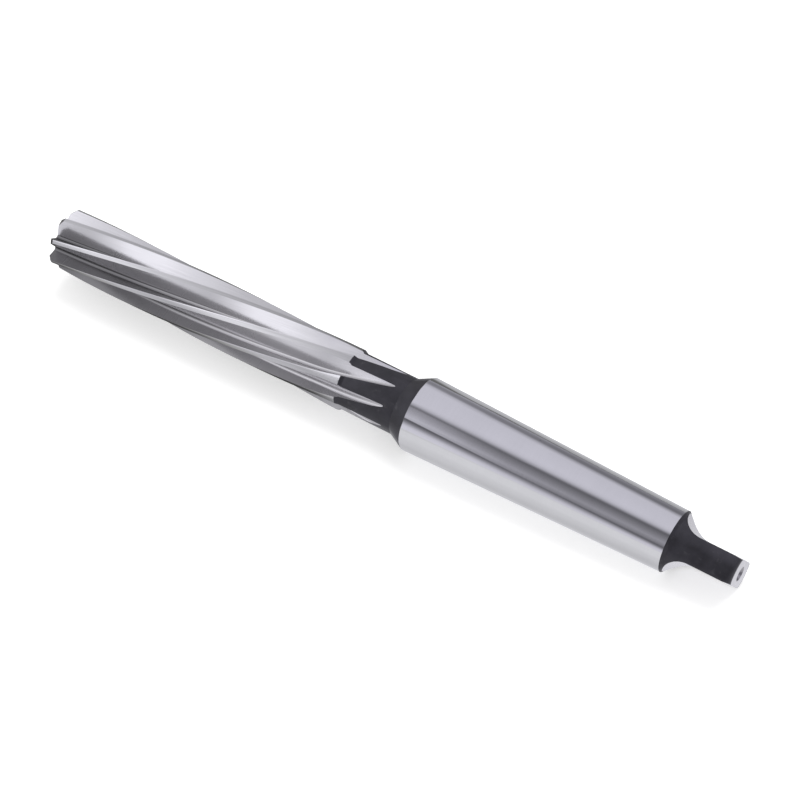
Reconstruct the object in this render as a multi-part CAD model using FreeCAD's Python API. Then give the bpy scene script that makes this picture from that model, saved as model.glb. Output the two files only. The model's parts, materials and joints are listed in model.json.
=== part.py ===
"""Long-fluted machine reamer, 15 mm, left-hand helix, right-hand cut, No. 2 Morse taper shank.

One piece of high-speed steel.  It is turned about the X axis with the bevel lead at x = 0 and
the tang end at x = overall_l, then its flutes, reliefs and tang are cut, and last it is laid
down the way it comes to rest: +X towards the tang, +Z up, the origin on the tool's axis at the
gauge plane of the taper.  All sizes are in millimetres and degrees.

Angles about the axis are measured in the tool's own section: 0 is its top (+Z as turned), and
they grow towards -Y, so a helix whose angle falls with x is left-handed.
"""
import FreeCAD, Part
import math
import os

V = FreeCAD.Vector

# overall
CUT_D = 15.0                 # cutting diameter
FLUTE_L = 81.0               # cutting length, where the teeth end
NECK_L = 18.35               # end of the teeth to the large end of the taper
LEAD_BEVEL = 1.1             # 45 degree bevel lead, radially

# Morse taper No. 2 shank
GAUGE_D = 17.780             # diameter at the gauge plane
GAUGE_L = 75.0               # gauge plane to tang end
TAPER = 0.04995              # change of diameter per millimetre of length
TAPER_L = 81.65              # large end of the ground taper to tang end
SHANK_SMALL_L = 16.0         # small end of the ground taper to tang end
RIM_BEVEL = 0.15             # break on the taper's large end

# tang
TANG_D = 13.5                # turned diameter
TANG_T = 6.3                 # thickness across the flats
TANG_FLAT_L = 10.0           # straight length of the flats
TANG_RUNOUT_R = 6.0          # cutter radius at the end of the flats
TANG_CORNER_R = 1.6          # rounding of the tang's end
TANG_TURN = 90.0             # angle about the axis that the flats face

# neck
NECK_D = 14.0
NECK_CONE_L = 3.75           # cone between neck and taper, along the axis
TOOTH_BACK_L = 0.85          # cone at the back of the teeth, along the axis

# centre holes
CENTRE_D = 3.5               # 60 degree countersink
CENTRE_PILOT_D = 1.6
CENTRE_PILOT_L = 3.6

# teeth
PITCHES = (42.0, 46.5, 45.0, 46.5)   # unequal spacing, repeated so that teeth stand opposite
FIRST_TOOTH = -72.6          # angle of the first cutting edge at the lead
HELIX_LEAD = 284.6           # left-hand lead of the helix
LAND_FRONT = 7.0             # width of the land at the lead, as an angle
LAND_BACK = 10.0             # width of the land where the flutes start to run out
ROOT_R_FRONT = 4.0          # radius of the flute's bottom at the lead
ROOT_R_BACK = 4.8            # and where the flutes start to run out
ROOT_NOSE_R = 0.6            # rounding of the flute's bottom
MARGIN_A = 1.5               # width of the cylindrical margin, as an angle
RELIEF_A = 6.0               # primary relief behind the margin
LEAD_RELIEF_A = 9.0          # relief of the bevel lead

# run-out of the flutes into the neck
RUNOUT_AT = 73.0             # where the grinding wheel starts to rise
RUNOUT_WHEEL_R = 40.0        # how softly it starts
RUNOUT_SLOPE = 0.137         # rise per millimetre after that
HELIX_STATION = 9.0          # spacing of the sections that a flute is lofted through
RUNOUT_STATION = 2.5         # and where it runs out

# rest
DOWN_A = 145.7               # the side that it lies on, as an angle about the axis at the lead

# construction
OVERCUT = 1.5                # how far the cutting forms reach past the blank

cut_r = CUT_D / 2
neck_r = NECK_D / 2
overall_l = FLUTE_L + NECK_L + TAPER_L
twist = -360.0 / HELIX_LEAD


def from_tang(distance):
    """The x of a plane that is dimensioned from the tang end."""
    return overall_l - distance


def taper_radius(distance):
    """Radius of the ground taper at a distance from the tang end."""
    return (GAUGE_D + TAPER * (distance - GAUGE_L)) / 2


def on_section(x, radius, angle):
    """A point from its radius and its angle in the tool's section, in degrees."""
    a = math.radians(angle)
    return V(x, -radius * math.sin(a), radius * math.cos(a))


def tooth_angles():
    """Angles of the cutting edges at the lead, each with the pitch to the next one."""
    angles = []
    angle = FIRST_TOOTH
    while angle < FIRST_TOOTH + 359.0:
        pitch = PITCHES[len(angles) % len(PITCHES)]
        angles.append((angle, pitch))
        angle += pitch
    return angles


def turned_blank():
    """The body of revolution, with the bevel lead, neck, cone, taper, tang and centre holes."""
    rim_x = from_tang(TAPER_L)
    small_x = from_tang(SHANK_SMALL_L)
    rim_r = taper_radius(TAPER_L)
    tang_r = TANG_D / 2
    sink_l = (CENTRE_D - CENTRE_PILOT_D) / 2 * math.sqrt(3)
    pilot_r = CENTRE_PILOT_D / 2
    step_l = taper_radius(SHANK_SMALL_L) - tang_r
    before = [
        V(sink_l + CENTRE_PILOT_L, 0, 0),
        V(sink_l + CENTRE_PILOT_L - pilot_r, 0, pilot_r),
        V(sink_l, 0, pilot_r),
        V(0, 0, CENTRE_D / 2),
        V(0, 0, cut_r - LEAD_BEVEL),
        V(LEAD_BEVEL, 0, cut_r),
        V(FLUTE_L, 0, cut_r),
        V(FLUTE_L + TOOTH_BACK_L, 0, neck_r),
        V(rim_x - NECK_CONE_L, 0, neck_r),
        V(rim_x, 0, rim_r - RIM_BEVEL),
        V(rim_x + RIM_BEVEL, 0, rim_r),
        V(small_x, 0, taper_radius(SHANK_SMALL_L)),
        V(small_x + step_l, 0, tang_r),
        V(overall_l - TANG_CORNER_R, 0, tang_r),
    ]
    corner_mid = TANG_CORNER_R * math.sqrt(0.5)
    corner = Part.Arc(
        V(overall_l - TANG_CORNER_R, 0, tang_r),
        V(overall_l - TANG_CORNER_R + corner_mid, 0, tang_r - TANG_CORNER_R + corner_mid),
        V(overall_l, 0, tang_r - TANG_CORNER_R))
    after = [
        V(overall_l, 0, tang_r - TANG_CORNER_R),
        V(overall_l, 0, CENTRE_D / 2),
        V(overall_l - sink_l, 0, pilot_r),
        V(overall_l - sink_l - CENTRE_PILOT_L + pilot_r, 0, pilot_r),
        V(overall_l - sink_l - CENTRE_PILOT_L, 0, 0),
    ]
    edges = [Part.makeLine(a, b) for a, b in zip(before, before[1:])]
    edges.append(corner.toShape())
    edges += [Part.makeLine(a, b) for a, b in zip(after, after[1:])]
    edges.append(Part.makeLine(after[-1], before[0]))
    return Part.Face(Part.Wire(edges)).revolve(V(0, 0, 0), V(1, 0, 0), 360)


def share(x):
    """How far a section lies from the lead (0) to the start of the run-out (1)."""
    return min(max(x / RUNOUT_AT, 0.0), 1.0)


def land_width(x):
    return LAND_FRONT + (LAND_BACK - LAND_FRONT) * share(x)


def root_radius(x):
    return ROOT_R_FRONT + (ROOT_R_BACK - ROOT_R_FRONT) * share(x)


def wheel_rise(x):
    """How far the wheel has backed out of the flute at a section."""
    s = max(x - RUNOUT_AT, 0.0)
    bend = RUNOUT_SLOPE * RUNOUT_WHEEL_R
    if s <= bend:
        return s * s / (2 * RUNOUT_WHEEL_R)
    return bend * bend / (2 * RUNOUT_WHEEL_R) + RUNOUT_SLOPE * (s - bend)


def land_drop(angle):
    """How far the relieved land lies inside the cutting circle, at an angle behind its edge."""
    run = cut_r * math.radians(max(angle - MARGIN_A, 0.0))
    return run * math.tan(math.radians(RELIEF_A))


def flute_profile(x, pitch):
    """Corners of a flute's section, seen from the next tooth's cutting face.

    Each point is (out, back): out along that face, and back towards the tooth before.  The
    flute is the radial face, a rounded bottom, and a straight back up to the land's heel.
    """
    opening = math.radians(pitch - land_width(x))
    heel_r = cut_r - land_drop(land_width(x))
    heel = (heel_r * math.cos(opening), heel_r * math.sin(opening))
    nose = (math.sqrt((root_radius(x) + ROOT_NOSE_R) ** 2 - ROOT_NOSE_R ** 2), ROOT_NOSE_R)
    reach = math.hypot(heel[0] - nose[0], heel[1] - nose[1])
    flank = math.atan2(heel[1] - nose[1], heel[0] - nose[0]) - math.asin(ROOT_NOSE_R / reach)
    out, back = math.cos(flank), math.sin(flank)
    touch = (nose[0] - ROOT_NOSE_R * back, nose[1] + ROOT_NOSE_R * out)
    half = flank / 2
    middle = (nose[0] - ROOT_NOSE_R * math.cos(half), nose[1] - ROOT_NOSE_R * math.sin(half))
    past = math.sqrt(reach ** 2 - ROOT_NOSE_R ** 2) + OVERCUT
    rise = wheel_rise(x)
    shift = (rise * math.cos(half), rise * math.sin(half))
    corners = [
        (cut_r + OVERCUT, 0.0),
        (nose[0], 0.0),
        middle,
        touch,
        (touch[0] + past * out, touch[1] + past * back),
    ]
    return [(a + shift[0], b + shift[1]) for a, b in corners]


def in_flute(x, face_angle, point):
    """A profile point (out, back) placed in the tool's section."""
    out, back = point
    angle = face_angle - math.degrees(math.atan2(back, out))
    return on_section(x, math.hypot(out, back), angle)


def flute_section(x, face_angle, pitch):
    tip, face_end, middle, touch, past_heel = [
        in_flute(x, face_angle, p) for p in flute_profile(x, pitch)]
    nose = Part.Arc(face_end, middle, touch).toShape()
    return Part.Wire([
        Part.makeLine(tip, face_end),
        nose,
        Part.makeLine(touch, past_heel),
        Part.makeLine(past_heel, tip)])


def stations(first, last, spacing):
    """Evenly spaced planes from the first to the last, both included."""
    count = max(int(math.ceil((last - first) / spacing)), 2)
    return [first + (last - first) * i / count for i in range(count + 1)]


def runout_end():
    """Where the rising flute has left the neck."""
    x = RUNOUT_AT
    while nose_depth(x) > -0.05:
        x += 0.5
    return x


def nose_depth(x):
    """Depth of the flute's bottom below the neck's surface."""
    points = flute_profile(x, max(PITCHES))
    return neck_r - min(math.hypot(a, b) for a, b in points[1:4])


def flute_cutter(edge_angle, pitch):
    """What the wheel removes between one tooth and the next."""
    planes = stations(-OVERCUT, RUNOUT_AT, HELIX_STATION)
    planes += stations(RUNOUT_AT, runout_end(), RUNOUT_STATION)[1:]
    sections = [flute_section(x, edge_angle + pitch + twist * x, pitch) for x in planes]
    return Part.makeLoft(sections, True, True)


def relief_cutter(edge_angle):
    """What is ground off a land behind its narrow cylindrical margin."""
    width = LAND_BACK + MARGIN_A + 12.0
    sections = []
    for x in stations(-OVERCUT, FLUTE_L + TOOTH_BACK_L, HELIX_STATION):
        edge = edge_angle + twist * x
        sections.append(Part.makePolygon([
            on_section(x, cut_r, edge + MARGIN_A),
            on_section(x, cut_r - land_drop(width), edge + width),
            on_section(x, cut_r + OVERCUT, edge + width),
            on_section(x, cut_r + OVERCUT, edge + MARGIN_A),
            on_section(x, cut_r, edge + MARGIN_A)]))
    return Part.makeLoft(sections, True, True)


def lead_relief_cutter(edge_angle):
    """A block whose lower face relieves one tooth's bevel lead behind its cutting edge."""
    width = cut_r / 2
    block = Part.makeBox(3 * LEAD_BEVEL, width, width, V(-1.5 * LEAD_BEVEL, -width, 0))
    pivot = V(0, 0, 0)
    block.rotate(pivot, V(1, 0, 0), LEAD_RELIEF_A)
    block.rotate(pivot, V(0, 1, 0), -45)
    block.translate(V(LEAD_BEVEL / 2, 0, cut_r - LEAD_BEVEL / 2))
    block.rotate(pivot, V(1, 0, 0), edge_angle)
    return block


def tang_cutter(side):
    """The flat on one side of the tang, running out with the milling cutter's radius."""
    half = TANG_T / 2
    reach = TANG_D
    flat_x = from_tang(TANG_FLAT_L)
    centre = (flat_x, half + TANG_RUNOUT_R)
    turn = TANG_RUNOUT_R * math.sqrt(0.5)
    arc = Part.Arc(
        V(flat_x, half, -reach),
        V(centre[0] - turn, centre[1] - turn, -reach),
        V(centre[0] - TANG_RUNOUT_R, centre[1], -reach))
    outline = [
        Part.makeLine(V(overall_l + OVERCUT, half, -reach), V(flat_x, half, -reach)),
        arc.toShape(),
        Part.makeLine(V(centre[0] - TANG_RUNOUT_R, centre[1], -reach),
                      V(centre[0] - TANG_RUNOUT_R, reach, -reach)),
        Part.makeLine(V(centre[0] - TANG_RUNOUT_R, reach, -reach),
                      V(overall_l + OVERCUT, reach, -reach)),
        Part.makeLine(V(overall_l + OVERCUT, reach, -reach),
                      V(overall_l + OVERCUT, half, -reach)),
    ]
    block = Part.Face(Part.Wire(outline)).extrude(V(0, 0, 2 * reach))
    block.rotate(V(0, 0, 0), V(1, 0, 0), TANG_TURN - 90.0 + (180.0 if side < 0 else 0.0))
    return block


def reamer():
    body = turned_blank()
    teeth = tooth_angles()
    cutters = [tang_cutter(1), tang_cutter(-1)]
    cutters += [flute_cutter(angle, pitch) for angle, pitch in teeth]
    cutters += [relief_cutter(angle) for angle, _ in teeth]
    cutters += [lead_relief_cutter(angle) for angle, _ in teeth]
    for cutter in cutters:
        body = body.cut(cutter)
    return body.Solids[0]


def lay_down(tool):
    """The tool as it lies: the taper's lowest line on the ground, or its rim and the teeth."""
    rim = V(from_tang(TAPER_L) + RIM_BEVEL, 0, -taper_radius(TAPER_L))
    foot = V(from_tang(SHANK_SMALL_L), 0, -taper_radius(SHANK_SMALL_L))
    if tool.CenterOfMass.x < rim.x:
        foot = V(LEAD_BEVEL, 0, -cut_r * math.cos(math.radians(tooth_gap() / 2)))
    slope = math.degrees(math.atan2(foot.z - rim.z, foot.x - rim.x))
    laid = tool.copy()
    laid.translate(V(-from_tang(GAUGE_L), 0, 0))
    laid.rotate(V(0, 0, 0), V(1, 0, 0), 180.0 - DOWN_A)
    laid.rotate(V(0, 0, 0), V(0, 1, 0), slope)
    return laid


def tooth_gap():
    """Angle between the two teeth that straddle the side it lies on."""
    return max(pitch - land_width(0.0) for _, pitch in tooth_angles())


def main():
    os.makedirs("parts", exist_ok=True)
    lay_down(reamer()).exportStep("parts/reamer.step")


main()
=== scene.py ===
"""Finish, studio and camera for the long-fluted machine reamer.

The CAD model is loaded as a fixed frame.  One fine mesh of the whole tool stands for its node,
built ring by ring about the axis in millimetres from the tool's own dimensions, and placed by
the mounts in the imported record.  Angles about the axis grow from the tool's top towards the
side that faces the camera, as in the CAD model.
"""
import json
import math

import bpy
from mathutils import Matrix, Vector


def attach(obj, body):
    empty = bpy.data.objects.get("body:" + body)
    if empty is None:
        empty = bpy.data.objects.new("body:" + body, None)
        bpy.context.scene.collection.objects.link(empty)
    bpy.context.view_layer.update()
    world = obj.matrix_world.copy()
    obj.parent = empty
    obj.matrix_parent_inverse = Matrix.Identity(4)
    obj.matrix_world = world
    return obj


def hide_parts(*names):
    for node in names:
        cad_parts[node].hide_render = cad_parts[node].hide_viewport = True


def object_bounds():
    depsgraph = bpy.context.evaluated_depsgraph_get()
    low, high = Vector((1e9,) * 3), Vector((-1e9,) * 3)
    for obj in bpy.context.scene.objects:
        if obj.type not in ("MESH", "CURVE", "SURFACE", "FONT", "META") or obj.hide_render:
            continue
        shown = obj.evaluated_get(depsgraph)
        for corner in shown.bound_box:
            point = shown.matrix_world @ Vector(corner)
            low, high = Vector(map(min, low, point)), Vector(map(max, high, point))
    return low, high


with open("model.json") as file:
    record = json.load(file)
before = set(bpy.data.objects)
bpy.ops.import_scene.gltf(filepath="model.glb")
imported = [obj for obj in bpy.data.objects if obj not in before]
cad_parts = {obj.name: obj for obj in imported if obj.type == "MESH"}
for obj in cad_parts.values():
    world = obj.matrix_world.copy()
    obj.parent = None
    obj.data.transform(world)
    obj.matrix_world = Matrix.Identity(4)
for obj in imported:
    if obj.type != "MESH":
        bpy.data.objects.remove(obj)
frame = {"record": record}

cad_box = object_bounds()

# ---------------------------------------------------------------- the tool, in millimetres

OVERALL_L = 181.0
CUT_R = 7.5
FLUTE_L = 81.0
LEAD_BEVEL = 1.1

GAUGE_R = 8.890
GAUGE_X = OVERALL_L - 75.0
TAPER_HALF = 0.04995 / 2
RIM_X = OVERALL_L - 81.65
RIM_BEVEL = 0.15
SMALL_X = OVERALL_L - 16.0

TANG_R = 6.75
TANG_HALF = 3.15
TANG_FLAT_L = 10.0
TANG_RUNOUT_R = 6.0
TANG_CORNER_R = 1.6
TANG_END_ROUND_L = 1.4
TANG_END_ROUND = 0.5

NECK_R = 7.0
NECK_CONE_L = 3.75
TOOTH_BACK_L = 0.85

CENTRE_R = 1.75
PILOT_R = 0.8
PILOT_L = 3.6
SINK_L = (CENTRE_R - PILOT_R) * math.sqrt(3)

PITCHES = (42.0, 46.5, 45.0, 46.5) * 2
FIRST_TOOTH = -72.6
TWIST = -360.0 / 284.6
LAND_FRONT = 7.0
LAND_BACK = 10.0
ROOT_R_FRONT = 4.0
ROOT_R_BACK = 4.8
NOSE_R = 0.6
MARGIN_A = 1.5
RELIEF = math.tan(math.radians(6.0))
LEAD_RELIEF = math.tan(math.radians(9.0)) * math.sqrt(2)

RUNOUT_AT = 73.0
RUNOUT_WHEEL_R = 40.0
RUNOUT_SLOPE = 0.137

# columns of the mesh, per tooth, in the order in which the angle grows
COLUMNS = (("margin", 1), ("land", 7), ("back", 10), ("nose", 12), ("face", 10))
COUNT = dict(COLUMNS)
GROOVE_COLUMNS = COUNT["back"] + COUNT["nose"] + COUNT["face"]
AROUND = sum(COUNT.values()) * len(PITCHES)
FLAT_COLUMNS = 40

# spacing of the mesh's rings along the tool
LEAD_SPACING = 0.275
LEAD_RELIEF_END = 1.6
LEAD_RELIEF_SPACING = 0.1
HELIX_SPACING = 0.85
RUNOUT_SPACING = 0.4
NECK_SPACING = 0.2
CONE_SPACING = 0.6
RIM_SPACING = 0.08
TAPER_SPACING = 1.7
TANG_RUNOUT_SPACING = 0.14
TANG_SPACING = 1.5
TANG_CORNER_STEP = 9.0

SHARP_ANGLE = 14.0
WELD = 1e-7                  # points closer than this, in metres, become one

TOUCHING = 1e-4              # a groove is shallower than this where it has run out
FLAT_TOLERANCE = 0.01

MATERIALS = ("taper", "flute", "nose", "face", "land", "oxide", "tang", "bore")


def share(x):
    return min(max(x / RUNOUT_AT, 0.0), 1.0)


def land_width(x):
    return LAND_FRONT + (LAND_BACK - LAND_FRONT) * share(x)


def root_radius(x):
    return ROOT_R_FRONT + (ROOT_R_BACK - ROOT_R_FRONT) * share(x)


def wheel_rise(x):
    """How far the wheel has backed out of the flute."""
    s = max(x - RUNOUT_AT, 0.0)
    bend = RUNOUT_SLOPE * RUNOUT_WHEEL_R
    if s <= bend:
        return s * s / (2 * RUNOUT_WHEEL_R)
    return bend * bend / (2 * RUNOUT_WHEEL_R) + RUNOUT_SLOPE * (s - bend)


def land_drop(angle):
    """How far a land lies inside the cutting circle, at an angle behind its edge."""
    return CUT_R * math.radians(max(angle - MARGIN_A, 0.0)) * RELIEF


def turned_radius(x):
    """Radius of the turned body at a plane."""
    tang_x = SMALL_X + taper_radius(SMALL_X) - TANG_R
    corner = OVERALL_L - TANG_CORNER_R
    if x <= FLUTE_L:
        return CUT_R
    if x <= FLUTE_L + TOOTH_BACK_L:
        return CUT_R + (NECK_R - CUT_R) * (x - FLUTE_L) / TOOTH_BACK_L
    if x <= RIM_X - NECK_CONE_L:
        return NECK_R
    if x <= RIM_X:
        rim = taper_radius(RIM_X) - RIM_BEVEL
        return rim + (NECK_R - rim) * (RIM_X - x) / NECK_CONE_L
    if x <= RIM_X + RIM_BEVEL:
        return taper_radius(RIM_X) - RIM_BEVEL + x - RIM_X
    if x <= SMALL_X:
        return taper_radius(x)
    if x <= tang_x:
        return taper_radius(SMALL_X) - (x - SMALL_X)
    if x <= corner:
        return TANG_R
    return TANG_R - TANG_CORNER_R + math.sqrt(max(TANG_CORNER_R ** 2 - (x - corner) ** 2, 0.0))


def taper_radius(x):
    return GAUGE_R + TAPER_HALF * (GAUGE_X - x)


def top_radius(x, angle):
    """Radius of a tooth's top, or of the neck, at an angle behind the tooth's edge."""
    bevel = CUT_R - LEAD_BEVEL + x - LEAD_RELIEF * CUT_R * math.radians(max(angle, 0.0))
    return min(turned_radius(x), CUT_R - land_drop(angle), bevel)


def spread(first, last, count):
    """count evenly spaced values, the last one left out."""
    return [first + (last - first) * i / count for i in range(count)]


def flute_outline(x, pitch):
    """The flute behind a land at a plane, as points (radius, angle behind this tooth's edge).

    It gives the land's heel, the flute's points, and the angle of the next tooth's edge.  The
    flute is worked out in the plane from that next tooth's face: its straight back, its round
    nose and the radial face, each cut off where the wheel has risen out of the body.
    """
    opening = math.radians(pitch - land_width(x))
    heel_r = CUT_R - land_drop(land_width(x))
    heel = (heel_r * math.cos(opening), heel_r * math.sin(opening))
    nose = (math.sqrt((root_radius(x) + NOSE_R) ** 2 - NOSE_R ** 2), NOSE_R)
    reach = math.hypot(heel[0] - nose[0], heel[1] - nose[1])
    flank = math.atan2(heel[1] - nose[1], heel[0] - nose[0]) - math.asin(NOSE_R / reach)
    rise = wheel_rise(x)
    nose = (nose[0] + rise * math.cos(flank / 2), nose[1] + rise * math.sin(flank / 2))
    out = (math.cos(flank), math.sin(flank))
    touch = (nose[0] - NOSE_R * out[1], nose[1] + NOSE_R * out[0])
    foot = (nose[0], nose[1] - NOSE_R)
    face_top = top_radius(x, 0.0)
    behind = pitch - math.degrees(math.atan2(nose[1], nose[0]))

    def polar(point):
        angle = pitch - math.degrees(math.atan2(point[1], point[0]))
        return math.hypot(point[0], point[1]), angle

    def over_top(point):
        radius, angle = polar(point)
        return radius - top_radius(x, angle)

    def along_back(s):
        return (touch[0] + s * out[0], touch[1] + s * out[1])

    def on_nose(turn):
        return (nose[0] + NOSE_R * math.cos(turn), nose[1] + NOSE_R * math.sin(turn))

    inward = math.pi + math.atan2(nose[1], nose[0])
    if over_top(on_nose(inward)) >= 0:
        gone = (top_radius(x, behind), behind)
        heel_end = gone
        grooves = [gone] * GROOVE_COLUMNS
    else:
        back_from, back_to = flank + math.pi / 2, 1.5 * math.pi
        if over_top(touch) < 0:
            top = along_back(crossing(lambda s: over_top(along_back(s)), 0.0, 2 * CUT_R))
        else:
            back_from = crossing(lambda t: over_top(on_nose(t)), inward, back_from)
            top = on_nose(back_from)
        if over_top(foot) < 0:
            edge = (math.sqrt(face_top ** 2 - foot[1] ** 2), foot[1])
        else:
            back_to = crossing(lambda t: over_top(on_nose(t)), inward, back_to)
            edge = on_nose(back_to)
        heel_end = polar(top)
        start, end = on_nose(back_from), on_nose(back_to)
        grooves = [polar(blend(top, start, t)) for t in spread(0.0, 1.0, COUNT["back"])]
        grooves += [polar(on_nose(t)) for t in spread(back_from, back_to, COUNT["nose"])]
        grooves += [polar(blend(end, edge, t)) for t in spread(0.0, 1.0, COUNT["face"])]
        behind = pitch - math.degrees(math.atan2(edge[1], edge[0]))
    return heel_end, grooves, behind


def blend(a, b, t):
    return (a[0] + (b[0] - a[0]) * t, a[1] + (b[1] - a[1]) * t)


def crossing(height, inside, outside):
    """Where a height changes from below zero to above it, by halving."""
    for _ in range(40):
        middle = (inside + outside) / 2
        if height(middle) < 0:
            inside = middle
        else:
            outside = middle
    return (inside + outside) / 2


def tooth_edges(x):
    """Angles of the cutting edges at a plane."""
    angle = FIRST_TOOTH + TWIST * x
    edges = []
    for pitch in PITCHES:
        edges.append(angle)
        angle += pitch
    return edges


def toothed_ring(x):
    """The tool's outline at a plane in the toothed length or the neck."""
    outlines = [flute_outline(x, pitch) for pitch in PITCHES]
    ring = []
    for i, edge in enumerate(tooth_edges(x)):
        heel, grooves, _ = outlines[i]
        start = outlines[i - 1][2] - PITCHES[i - 1]
        margin_end = max(min(MARGIN_A, heel[1]), start)
        angles = spread(start, margin_end, COUNT["margin"])
        angles += spread(margin_end, heel[1], COUNT["land"])
        ring += [(top_radius(x, a), edge + a) for a in angles]
        ring += [(r, edge + a) for r, a in grooves]
    return ring


def flat_distance(x):
    """Distance of the tang's milled faces from the axis, or None where there are none."""
    d = OVERALL_L - x
    if d > TANG_FLAT_L + TANG_RUNOUT_R:
        return None
    if d <= TANG_FLAT_L:
        return TANG_HALF
    run = d - TANG_FLAT_L
    return TANG_HALF + TANG_RUNOUT_R - math.sqrt(TANG_RUNOUT_R ** 2 - run ** 2)


def eased(x, flat, angle, radius):
    """Radius with the tang's long corners rounded off towards its end."""
    small = 1e-3
    soft = TANG_END_ROUND * max(1.0 - (OVERALL_L - x) / TANG_END_ROUND_L, 0.0) ** 0.5
    if soft < small:
        return radius
    milled = flat / max(abs(math.sin(math.radians(angle))), small)
    gap = abs(milled - turned_radius(x))
    return min(milled, turned_radius(x)) - soft * math.log(1.0 + math.exp(-gap / soft))


def tang_ring(x, first_angle):
    """The outline at a plane in the tang, with as many points on the milled faces everywhere.

    Its first point is the one that lies nearest to the first angle.
    """
    radius = turned_radius(x)
    flat = flat_distance(x)
    half_width = 0.0
    if flat is not None and flat < radius:
        half_width = math.sqrt(radius ** 2 - flat ** 2)
    corner = math.degrees(math.atan2(half_width, flat)) if half_width else 0.0
    rounds = AROUND // 2 - FLAT_COLUMNS
    ring = []
    for side in (0, 1):
        middle = -270.0 + 180.0 * side
        for u in spread(-1.0, 1.0, FLAT_COLUMNS):
            if half_width:
                across = u * half_width
                turn = math.degrees(math.atan2(across, flat))
                ring.append((math.hypot(flat, across), middle + turn))
            else:
                ring.append((radius, middle))
        for a in spread(middle + corner, middle + 180.0 - corner, rounds):
            ring.append((radius, a))
    ring = [(eased(x, flat, a, r), a) for r, a in ring]
    turned = round((first_angle + 270.0) / 360.0 * AROUND)
    offset = (turned + FLAT_COLUMNS // 2) % AROUND
    ring = ring[offset:] + [(r, a + 360.0) for r, a in ring[:offset]]
    shift = 360.0 * round((first_angle - ring[0][1]) / 360.0)
    return [(r, a + shift) for r, a in ring]


def even_ring(x, before, after, t):
    """A plain turned circle whose columns move from one spacing to another."""
    radius = turned_radius(x)
    return [(radius, a + (b - a) * t) for (_, a), (_, b) in zip(before, after)]


def steps(first, last, spacing):
    """Evenly spaced values up to the last one, the first left out."""
    count = max(int(round((last - first) / spacing)), 1)
    return [first + (last - first) * i / count for i in range(1, count + 1)]


def rings():
    """Every ring from the lead's centre hole to the tang's: (x, ring, zone before it)."""
    tooth_end = FLUTE_L + TOOTH_BACK_L
    neck_end = RIM_X - NECK_CONE_L
    rim_end = RIM_X + RIM_BEVEL
    flat_start = OVERALL_L - TANG_FLAT_L
    corner = OVERALL_L - TANG_CORNER_R

    front = toothed_ring(0.0)
    rows = hole_rows(0.0, 1.0, front, "bore")[::-1]
    rows.append((0.0, front, "end"))
    for first, last, spacing, zone in (
            (0.0, LEAD_BEVEL, LEAD_SPACING, "teeth"),
            (LEAD_BEVEL, LEAD_RELIEF_END, LEAD_RELIEF_SPACING, "teeth"),
            (LEAD_RELIEF_END, RUNOUT_AT, HELIX_SPACING, "teeth"),
            (RUNOUT_AT, FLUTE_L, RUNOUT_SPACING, "teeth"),
            (FLUTE_L, tooth_end, NECK_SPACING, "neck"),
            (tooth_end, neck_end, NECK_SPACING, "neck")):
        rows += [(x, toothed_ring(x), zone) for x in steps(first, last, spacing)]

    toothed = rows[-1][1]
    tang = tang_ring(SMALL_X, toothed[0][1])
    for first, last, spacing, zone in (
            (neck_end, RIM_X, CONE_SPACING, "neck"),
            (RIM_X, rim_end, RIM_SPACING, "taper"),
            (rim_end, SMALL_X, TAPER_SPACING, "taper")):
        for x in steps(first, last, spacing):
            moved = (x - neck_end) / (SMALL_X - neck_end)
            rows.append((x, even_ring(x, toothed, tang, moved), zone))

    start = rows[-1][1][0][1]
    planes = steps(SMALL_X, flat_start, TANG_RUNOUT_SPACING)
    planes += steps(flat_start, corner, TANG_SPACING)
    for turn in steps(0.0, 90.0, TANG_CORNER_STEP):
        planes.append(corner + TANG_CORNER_R * math.sin(math.radians(turn)))
    rows += [(x, tang_ring(x, start), "tang") for x in planes]
    rows += hole_rows(OVERALL_L, -1.0, rows[-1][1], "end")
    return rows


def hole_rows(face_x, inward, outline, zone):
    """Rows from a face's outline into its centre hole, ending on the axis."""
    angles = [a for _, a in outline]
    depths = (
        (0.0, CENTRE_R, zone),
        (SINK_L, PILOT_R, "bore"),
        (SINK_L + PILOT_L - PILOT_R, PILOT_R, "bore"),
        (SINK_L + PILOT_L, 0.0, "bore"))
    return [(face_x + inward * d, [(r, a) for a in angles], z) for d, r, z in depths]


def finish_of(before, after, j, k, column):
    """Which finish a face has, from the two rings and the columns that it lies between."""
    x, ring, zone = after
    if zone == "end":
        return "oxide" if x < GAUGE_X else "tang"
    if zone == "tang":
        return "tang" if is_flat(before, after, j, k) else "oxide"
    if zone not in ("teeth", "neck"):
        return zone
    if zone == "neck":
        cut = min(ring[j][0], ring[k][0]) < turned_radius(x) - TOUCHING
        if not cut or column in ("margin", "land"):
            return "oxide"
    # the margin takes the brighter flute steel and the land the darker land steel: a painted
    # highlight along each cutting edge
    return "flute" if column in ("margin", "back") else column


def is_flat(before, after, j, k):
    """Whether a tang face lies on one of the two milled sides."""
    for x, ring, _ in (before, after):
        flat = flat_distance(x)
        if flat is None:
            return False
        for _, a in (ring[j], ring[k]):
            if flat > (turned_radius(x) + FLAT_TOLERANCE) * abs(math.sin(math.radians(a))):
                return False
    return True


def placement():
    """From the tool's own axes to the row frame, taken from the record's mounts."""
    mounts = {m["name"]: m for m in frame["record"]["mounts"]}
    along = Vector(mounts["morse_taper"]["axis"]).normalized()
    side = Vector(mounts["tang_flat_a"]["axis"])
    side = (side - side.dot(along) * along).normalized()
    top = side.cross(along).normalized()
    gauge = Vector(mounts["morse_taper"]["pos_m"])
    return along, side, top, gauge


ALONG, SIDE, TOP, GAUGE = placement()


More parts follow.
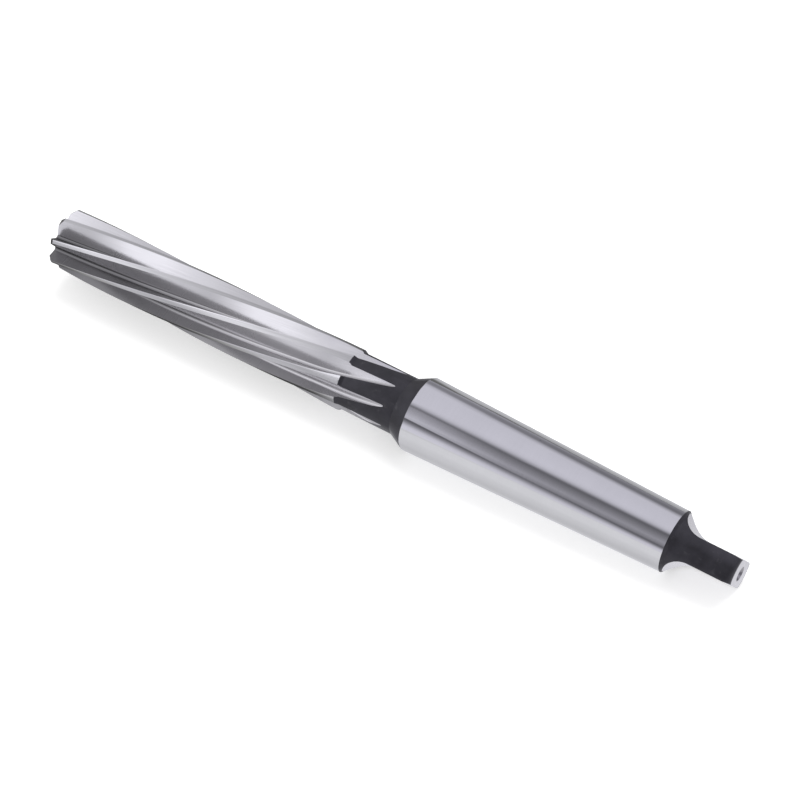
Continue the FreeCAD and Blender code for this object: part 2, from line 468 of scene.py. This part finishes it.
def place(x, radius, angle):
    """A point of the tool in the row frame, in metres."""
    a = math.radians(angle)
    p = ALONG * (x - GAUGE_X) + SIDE * (radius * math.sin(a)) + TOP * (radius * math.cos(a))
    return GAUGE + p / 1000.0


def welded(rows):
    """The points of all rings, each kept once, and the ring by ring list of their numbers."""
    points = []
    numbers = {}
    index = []
    for x, ring, _ in rows:
        line = []
        for r, a in ring:
            point = place(x, r, a)
            key = tuple(round(v / WELD) for v in point)
            if key not in numbers:
                numbers[key] = len(points)
                points.append(point)
            line.append(numbers[key])
        index.append(line)
    return points, index


def tool_mesh():
    rows = rings()
    points, index = welded(rows)
    columns = [name for name, count in COLUMNS for _ in range(count)] * len(PITCHES)
    faces = []
    slots = []
    for i in range(1, len(rows)):
        for j in range(AROUND):
            k = (j + 1) % AROUND
            loop = [index[i - 1][j], index[i - 1][k], index[i][k], index[i][j]]
            loop = list(dict.fromkeys(loop))
            if len(loop) > 2:
                faces.append(loop)
                name = finish_of(rows[i - 1], rows[i], j, k, columns[j])
                slots.append(MATERIALS.index(name))
    mesh = bpy.data.meshes.new("reamer_body")
    mesh.from_pydata(points, [], faces)
    for polygon, slot in zip(mesh.polygons, slots):
        polygon.material_index = slot
        polygon.use_smooth = True
    mesh.validate()
    mesh.update()
    return mesh


# ---------------------------------------------------------------- finishes, some with painted shade and painted highlight


class Nodes:
    """A short way to write the node tree of a material or a world."""

    def __init__(self, owner):
        owner.use_nodes = True
        self.tree = owner.node_tree
        self.tree.nodes.clear()

    def add(self, kind, inputs=None, **settings):
        node = self.tree.nodes.new("ShaderNode" + kind)
        for name, value in settings.items():
            setattr(node, name, value)
        for name, value in (inputs or {}).items():
            if isinstance(value, bpy.types.NodeSocket):
                self.tree.links.new(value, node.inputs[name])
            else:
                node.inputs[name].default_value = value
        return node

    def ramp(self, value, stops):
        node = self.add("ValToRGB", {"Fac": value})
        while len(node.color_ramp.elements) > 1:
            node.color_ramp.elements.remove(node.color_ramp.elements[-1])
        for i, (position, colour) in enumerate(stops):
            if i:
                element = node.color_ramp.elements.new(position)
            else:
                element = node.color_ramp.elements[0]
                element.position = position
            element.color = (*colour, 1.0)
        return node.outputs["Color"]

    def finish(self, shader, kind="OutputMaterial"):
        self.tree.links.new(shader.outputs[0], self.add(kind).inputs["Surface"])

    def scaled(self, value, low, high, out_low, out_high):
        node = self.add("MapRange", {
            "Value": value, "From Min": low, "From Max": high,
            "To Min": out_low, "To Max": out_high})
        return node.outputs["Result"]


def grey(value, tint=(1.0, 1.0, 1.0)):
    return tuple(value * t for t in tint)


def tool_coordinates(n):
    """Object position turned onto the tool's axis: X along it, in metres."""
    position = n.add("TexCoord").outputs["Object"]
    turn = Matrix((ALONG, -SIDE, TOP)).to_euler()
    moved = n.add("VectorMath", {0: position, 1: tuple(-GAUGE)}, operation="ADD")
    return n.add("VectorRotate", {
        "Vector": moved.outputs[0], "Rotation": tuple(turn)},
        rotation_type="EULER_XYZ").outputs[0]


def new_material(name):
    material = bpy.data.materials.new(name)
    n = Nodes(material)
    shader = n.add("BsdfPrincipled")
    n.finish(shader)
    return material, n, shader


def stretched(n, position, scales):
    return n.add("VectorMath", {0: position, 1: scales}, operation="MULTIPLY").outputs[0]


def noise(n, vector, scale, detail=3.0, rough=0.5):
    return n.add("TexNoise", {
        "Vector": vector, "Scale": scale, "Detail": detail, "Roughness": rough}).outputs["Fac"]


def polar_coordinates(n, position):
    """Distance along the axis from the gauge plane, in metres, and angle about it."""
    parts = n.add("SeparateXYZ", {"Vector": position})
    side = n.add("Math", {0: parts.outputs["Y"], 1: -1.0}, operation="MULTIPLY")
    angle = n.add("Math", {0: side.outputs[0], 1: parts.outputs["Z"]}, operation="ARCTAN2")
    return parts.outputs["X"], angle.outputs[0]


# painted shade: where the flute steel darkens towards the lead, in metres from the gauge plane
LEAD_SHADE_RANGE = (-0.085, -0.045)


def steel(name, colour, rough, grain, along, specks=0.0, lead_shade_share=1.0):
    """Ground steel with a fine grain, along the helix or round the axis.

    lead_shade_share is how bright it still is at the lead, as a share of its colour further back:
    a painted shade that darkens it towards the lead.
    """
    material, n, shader = new_material(name)
    position = tool_coordinates(n)
    x, angle = polar_coordinates(n, position)
    helix = n.add("Math", {
        0: x, 1: math.radians(-TWIST * 1000.0) if along else 0.0}, operation="MULTIPLY")
    turned = n.add("Math", {0: angle, 1: helix.outputs[0]}, operation="ADD")
    vector = n.add("CombineXYZ", {"X": x, "Y": turned.outputs[0]}).outputs[0]
    scales = (60.0, 90.0, 1.0) if along else (9000.0, 1.2, 1.0)
    lines = noise(n, stretched(n, vector, scales), 1.0, 4.0, 0.6)
    cloud = noise(n, position, 140.0, 3.0, 0.55)
    shade = n.scaled(cloud, 0.3, 0.7, 0.965, 1.0)
    streaks = n.scaled(lines, 0.30, 0.70, 1.0 - 0.3 * grain, 1.0 + 0.2 * grain)
    shade = n.add("Math", {0: shade, 1: streaks}, operation="MULTIPLY").outputs[0]
    tone = n.add("MixRGB", {
        "Fac": 1.0, "Color1": (*colour, 1.0), "Color2": shade}, blend_type="MULTIPLY")
    base = tone.outputs["Color"]
    # painted shade, darker towards the lead
    if lead_shade_share < 1.0:
        painted_lead_shade = n.scaled(x, *LEAD_SHADE_RANGE, lead_shade_share, 1.0)
        base = n.add("MixRGB", {
            "Fac": 1.0, "Color1": base, "Color2": painted_lead_shade}, blend_type="MULTIPLY").outputs["Color"]
    if specks:
        spots = n.add("TexVoronoi", {"Vector": position, "Scale": 95.0}, feature="F1")
        mask = n.scaled(spots.outputs["Distance"], 0.012, 0.028, specks, 0.0)
        base = n.add("MixRGB", {
            "Fac": mask, "Color1": base, "Color2": (*grey(0.18), 1.0)}).outputs["Color"]
    n.tree.links.new(base, shader.inputs["Base Color"])
    roughness = n.scaled(lines, 0.3, 0.7, rough * 0.85, rough * 1.2)
    n.tree.links.new(roughness, shader.inputs["Roughness"])
    bump = n.add("Bump", {"Height": lines, "Strength": grain, "Distance": 0.00002})
    n.tree.links.new(bump.outputs["Normal"], shader.inputs["Normal"])
    shader.inputs["Metallic"].default_value = 1.0
    return material


def black_oxide(name):
    """Blackened steel: a thin dark skin over turned metal, faintly brushed round the axis."""
    material, n, shader = new_material(name)
    position = tool_coordinates(n)
    x, angle = polar_coordinates(n, position)
    vector = n.add("CombineXYZ", {"X": x, "Y": angle}).outputs[0]
    lines = noise(n, stretched(n, vector, (5200.0, 1.5, 1.0)), 1.0, 3.0, 0.6)
    cloud = noise(n, position, 260.0, 4.0, 0.6)
    colour = n.ramp(n.scaled(cloud, 0.3, 0.7, 0.0, 1.0), (
        (0.0, (0.030, 0.029, 0.035)), (1.0, (0.050, 0.048, 0.058))))
    patches = noise(n, position, 330.0, 5.0, 0.65)
    worn = n.scaled(patches, 0.60, 0.74, 0.0, 0.55)
    colour = n.add("MixRGB", {
        "Fac": worn, "Color1": colour, "Color2": (0.135, 0.132, 0.142, 1.0)}).outputs["Color"]
    n.tree.links.new(colour, shader.inputs["Base Color"])
    roughness = n.scaled(cloud, 0.3, 0.7, 0.30, 0.42)
    n.tree.links.new(roughness, shader.inputs["Roughness"])
    bump = n.add("Bump", {"Height": lines, "Strength": 0.35, "Distance": 0.00002})
    n.tree.links.new(bump.outputs["Normal"], shader.inputs["Normal"])
    shader.inputs["Metallic"].default_value = 0.55
    shader.inputs["Specular IOR Level"].default_value = 0.6
    return material


def finishes():
    return {
        "taper": steel("taper_polished", (0.78, 0.78, 0.78), 0.08, 0.08, False, specks=0.4),
        "flute": steel("flute_ground", (0.78, 0.77, 0.79), 0.20, 0.35, True),
        # nose: darker than the flute's back and much darker towards the lead, a painted shade in
        # the bottom of the flute
        "nose": steel("nose_ground_painted_shade", (0.62, 0.61, 0.62), 0.22, 0.35, True, lead_shade_share=0.3),
        # face: painted dark, a painted shade on the tooth faces inside the flutes, darker still
        # towards the lead
        "face": steel("face_ground_painted_shade", (0.36, 0.355, 0.36), 0.26, 0.35, True, lead_shade_share=0.6),
        # land: painted darker than the margin beside it, which leaves a painted highlight along
        # the cutting edge
        "land": steel("land_ground", (0.64, 0.635, 0.645), 0.20, 0.4, True),
        "oxide": black_oxide("black_oxide"),
        "tang": steel("tang_milled", (0.70, 0.69, 0.71), 0.24, 0.3, False),
        "bore": steel("centre_bore", (0.45, 0.44, 0.45), 0.30, 0.3, False)}


def dress_tool():
    """The one mesh that rides on the body and stands for the node reamer."""
    mesh = tool_mesh()
    made = finishes()
    for name in MATERIALS:
        mesh.materials.append(made[name])
    mesh.set_sharp_from_angle(angle=math.radians(SHARP_ANGLE))
    tool = bpy.data.objects.new("reamer_body", mesh)
    bpy.context.collection.objects.link(tool)
    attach(tool, "root")
    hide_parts("reamer")


# ---------------------------------------------------------------- studio

FLOOR_SIZE = 6.0
COOL = (0.985, 0.970, 1.105)
PALE = (0.990, 0.990, 1.045)
PLAIN = (1.0, 1.0, 1.0)

# the tent about the tool: how bright it is at an angle, in degrees up from the front horizon,
# first as the teeth's end of the shank mirrors it and then as the tang's end does
TENT = (
    # front panel, and the gap above it
    (0.0, 0.80, 0.75), (8.0, 0.75, 0.65), (14.0, 0.30, 0.30), (18.0, 0.10, 0.15),
    (21.0, 0.20, 0.15),
    # front strip, and the narrow gap above it
    (25.0, 0.55, 0.25), (36.0, 0.75, 0.35), (48.0, 0.60, 0.25), (62.0, 0.50, 0.15),
    (66.0, 0.20, 0.15),
    # panel overhead
    (74.0, 0.60, 0.50), (80.0, 0.70, 0.65), (90.0, 0.70, 0.70), (140.0, 0.70, 0.65),
    # gap behind, and the panel below it
    (150.0, 0.60, 0.40), (157.0, 0.30, 0.20), (165.0, 0.25, 0.20), (180.0, 0.40, 0.30))
TENT_ENDS = (-0.285, -0.225)

# the card over the teeth, by the same angle
CARD = (
    (0.0, 0.58), (10.0, 0.64), (25.0, 0.88), (35.0, 1.12), (55.0, 1.12), (70.0, 0.94),
    (88.0, 0.82), (105.0, 0.68), (140.0, 0.56), (165.0, 0.50), (180.0, 0.42))
CARD_RADIUS = 0.07
CARD_ENDS = (-0.20, -0.038)
CARD_STEP = 6

# the floor as the steel mirrors it, by millimetres behind the axis; dark near the axis under the
# teeth, a painted shadow in what the steel mirrors
FLOOR_BY_SHANK = (
    (-30.0, 0.80, PALE), (-16.0, 0.71, PALE), (-10.5, 0.63, PALE), (-7.5, 0.66, PALE),
    (-4.0, 0.88, PALE), (6.0, 0.86, PALE), (26.0, 0.60, PALE), (70.0, 0.47, PALE))
FLOOR_BY_TEETH = (
    (-60.0, 0.72, PALE), (-30.0, 0.76, PALE), (-17.0, 0.50, PLAIN), (-13.0, 0.28, PLAIN),
    (-9.0, 0.06, PLAIN), (4.0, 0.04, PLAIN), (20.0, 0.16, PLAIN))
FLOOR_REACH = 80.0
FLOOR_CHANGE = (-0.034, -0.022)
PAPER = 0.80
PAPER_LIFT = 0.50            # added for the camera only
SOFT_LIGHT = 0.72            # what the tent sheds on the floor and the tool


LAMP_SIZE = (0.9, 0.6)
LAMP_POWER = 5.0
LAMP_PLACE = (0.05, 0.35, 0.95)
LAMP_AIM = (-0.01, 0.0, 0.0)


def floor_stops(levels):
    return [((y + FLOOR_REACH) / (2 * FLOOR_REACH), grey(v, tint)) for y, v, tint in levels]


def floor_material():
    """White paper, clear from below.  What the tool mirrors is set apart from what is seen."""
    material = bpy.data.materials.new("studio_floor")
    n = Nodes(material)
    parts = n.add("SeparateXYZ", {"Vector": n.add("NewGeometry").outputs["Position"]})
    reach = FLOOR_REACH / 1000.0
    across = n.scaled(parts.outputs["Y"], -reach, reach, 0.0, 1.0)
    mirrored = n.add("MixRGB", {
        "Fac": n.scaled(parts.outputs["X"], *FLOOR_CHANGE, 0.0, 1.0),
        "Color1": n.ramp(across, floor_stops(FLOOR_BY_TEETH)),
        "Color2": n.ramp(across, floor_stops(FLOOR_BY_SHANK))})
    path = n.add("LightPath")
    paper = n.add("BsdfDiffuse", {"Color": (PAPER, PAPER, PAPER, 1.0)})
    lift = n.add("Emission", {"Color": (1.0, 1.0, 1.0, 1.0), "Strength": PAPER_LIFT})
    none = n.add("Emission", {"Strength": 0.0})
    extra = n.add("MixShader", {
        "Fac": path.outputs["Is Camera Ray"], 1: none.outputs[0], 2: lift.outputs[0]})
    lit = n.add("AddShader", {0: paper.outputs[0], 1: extra.outputs[0]})
    card = n.add("Emission", {"Color": mirrored.outputs["Color"], "Strength": 1.0})
    both = n.add("MixShader", {
        "Fac": path.outputs["Is Glossy Ray"], 1: lit.outputs[0], 2: card.outputs[0]})
    below = n.add("NewGeometry").outputs["Backfacing"]
    clear = n.add("BsdfTransparent")
    n.finish(n.add("MixShader", {"Fac": below, 1: both.outputs[0], 2: clear.outputs[0]}))
    return material


def add_floor():
    """The floor lies at the solid's lowest point."""
    low = cad_box[0][2]
    mesh = bpy.data.meshes.new("studio_floor")
    s = FLOOR_SIZE
    mesh.from_pydata([(-s, -s, low), (s, -s, low), (s, s, low), (-s, s, low)], [], [(0, 1, 2, 3)])
    mesh.materials.append(floor_material())
    floor = bpy.data.objects.new("studio_floor", mesh)
    bpy.context.collection.objects.link(floor)


def front_angle(n, vector):
    """A vector's angle about the tool, from the front horizon up, as a share of a full turn."""
    parts = n.add("SeparateXYZ", {"Vector": vector})
    front = n.add("Math", {0: parts.outputs["Y"], 1: -1.0}, operation="MULTIPLY")
    angle = n.add("Math", {0: parts.outputs["Z"], 1: front.outputs[0]}, operation="ARCTAN2")
    return n.scaled(angle.outputs[0], -math.pi, math.pi, 0.0, 1.0)


def angle_stops(levels, tint):
    return [((degrees + 180.0) / 360.0, grey(v, tint)) for degrees, v in levels]


def studio_world():
    """A light tent: soft panels along the tool, with the dark gaps that its shank mirrors."""
    world = bpy.data.worlds.new("studio")
    bpy.context.scene.world = world
    n = Nodes(world)
    direction = n.add("TexCoord").outputs["Generated"]
    turn = front_angle(n, direction)
    along = n.add("SeparateXYZ", {"Vector": direction}).outputs["X"]
    tent = n.add("MixRGB", {
        "Fac": n.scaled(along, *TENT_ENDS, 0.0, 1.0),
        "Color1": n.ramp(turn, angle_stops([(a, v) for a, v, _ in TENT], COOL)),
        "Color2": n.ramp(turn, angle_stops([(a, v) for a, _, v in TENT], COOL))})
    path = n.add("LightPath")
    soft = n.add("Background", {"Color": (1.0, 1.0, 1.0, 1.0), "Strength": SOFT_LIGHT})
    panels = n.add("Background", {"Color": tent.outputs["Color"], "Strength": 1.0})
    white = n.add("Background", {"Color": (1.0, 1.0, 1.0, 1.0), "Strength": 1.0})
    lit = n.add("MixShader", {
        "Fac": path.outputs["Is Glossy Ray"], 1: soft.outputs[0], 2: panels.outputs[0]})
    n.finish(n.add("MixShader", {
        "Fac": path.outputs["Is Camera Ray"], 1: lit.outputs[0], 2: white.outputs[0]}),
        "OutputWorld")


def add_card():
    """A curved white card over the teeth, seen only in what the steel mirrors."""
    vertices = []
    faces = []
    for i, degrees in enumerate(range(0, 181, CARD_STEP)):
        a = math.radians(degrees)
        for x in CARD_ENDS:
            vertices.append((x, -CARD_RADIUS * math.cos(a), CARD_RADIUS * math.sin(a)))
        if i:
            faces.append((2 * i - 2, 2 * i - 1, 2 * i + 1, 2 * i))
    mesh = bpy.data.meshes.new("teeth_card")
    mesh.from_pydata(vertices, [], faces)
    material = bpy.data.materials.new("teeth_card")
    n = Nodes(material)
    turn = front_angle(n, n.add("TexCoord").outputs["Object"])
    n.finish(n.add("Emission", {"Color": n.ramp(turn, angle_stops(CARD, PALE)), "Strength": 1.0}))
    mesh.materials.append(material)
    card = bpy.data.objects.new("teeth_card", mesh)
    card.visible_camera = False
    card.visible_diffuse = False
    card.visible_shadow = False
    card.visible_transmission = False
    bpy.context.collection.objects.link(card)


def add_lamp():
    """One broad soft lamp above and behind, which gives the contact shadow its side."""
    data = bpy.data.lights.new("soft_box", "AREA")
    data.shape = "RECTANGLE"
    data.size, data.size_y = LAMP_SIZE
    data.energy = LAMP_POWER
    lamp = bpy.data.objects.new("soft_box", data)
    lamp.location = LAMP_PLACE
    aim = Vector(LAMP_AIM) - lamp.location
    lamp.rotation_euler = aim.to_track_quat("-Z", "Y").to_euler()
    lamp.visible_glossy = False
    bpy.context.collection.objects.link(lamp)


# camera, in the tool's own axes: how far its view leans from square on to the axis, how the
# axis runs across the picture, and where the tang end lies in front of it, in millimetres
CAMERA_LENS = 124.4
CAMERA_SENSOR = 36.0
CAMERA_LEAN = 19.39
CAMERA_SKEW = 0.49
CAMERA_TILT = 26.0
CAMERA_OFFSET = (82.38, 1.584, 596.0)


def add_camera():
    """Turn the tool's own axes into the picture's, then stand off from the tang end."""
    lead = -ALONG
    lean = math.radians(CAMERA_LEAN)
    skew = math.tan(math.radians(CAMERA_SKEW))
    to_lead = Vector((-math.cos(lean), -skew, math.sin(lean))).normalized()
    to_lens = Vector((-math.sin(lean), 0.0, -math.cos(lean)))
    third = to_lens.cross(to_lead)
    if third.y < 0:
        third = -third
    basis = ((lead, to_lead), (TOP, to_lens), (SIDE, third))
    axes = [sum((w * v[i] for w, v in basis), Vector()) for i in range(3)]
    tilt = math.radians(CAMERA_TILT)
    right = axes[0] * math.cos(tilt) - axes[1] * math.sin(tilt)
    down = axes[0] * math.sin(tilt) + axes[1] * math.cos(tilt)
    end = GAUGE + ALONG * (OVERALL_L - GAUGE_X) / 1000.0
    eye = end - sum((axes[i] * CAMERA_OFFSET[i] / 1000.0 for i in range(3)), Vector())
    data = bpy.data.cameras.new("camera")
    data.lens = CAMERA_LENS
    data.sensor_width = CAMERA_SENSOR
    camera = bpy.data.objects.new("camera", data)
    turn = Matrix((right, -down, -axes[2])).transposed().to_4x4()
    camera.matrix_world = Matrix.Translation(eye) @ turn
    bpy.context.collection.objects.link(camera)
    bpy.context.scene.camera = camera


def main():
    dress_tool()
    add_floor()
    studio_world()
    add_card()
    add_lamp()
    add_camera()
    bpy.context.scene.view_settings.view_transform = "Standard"


main()
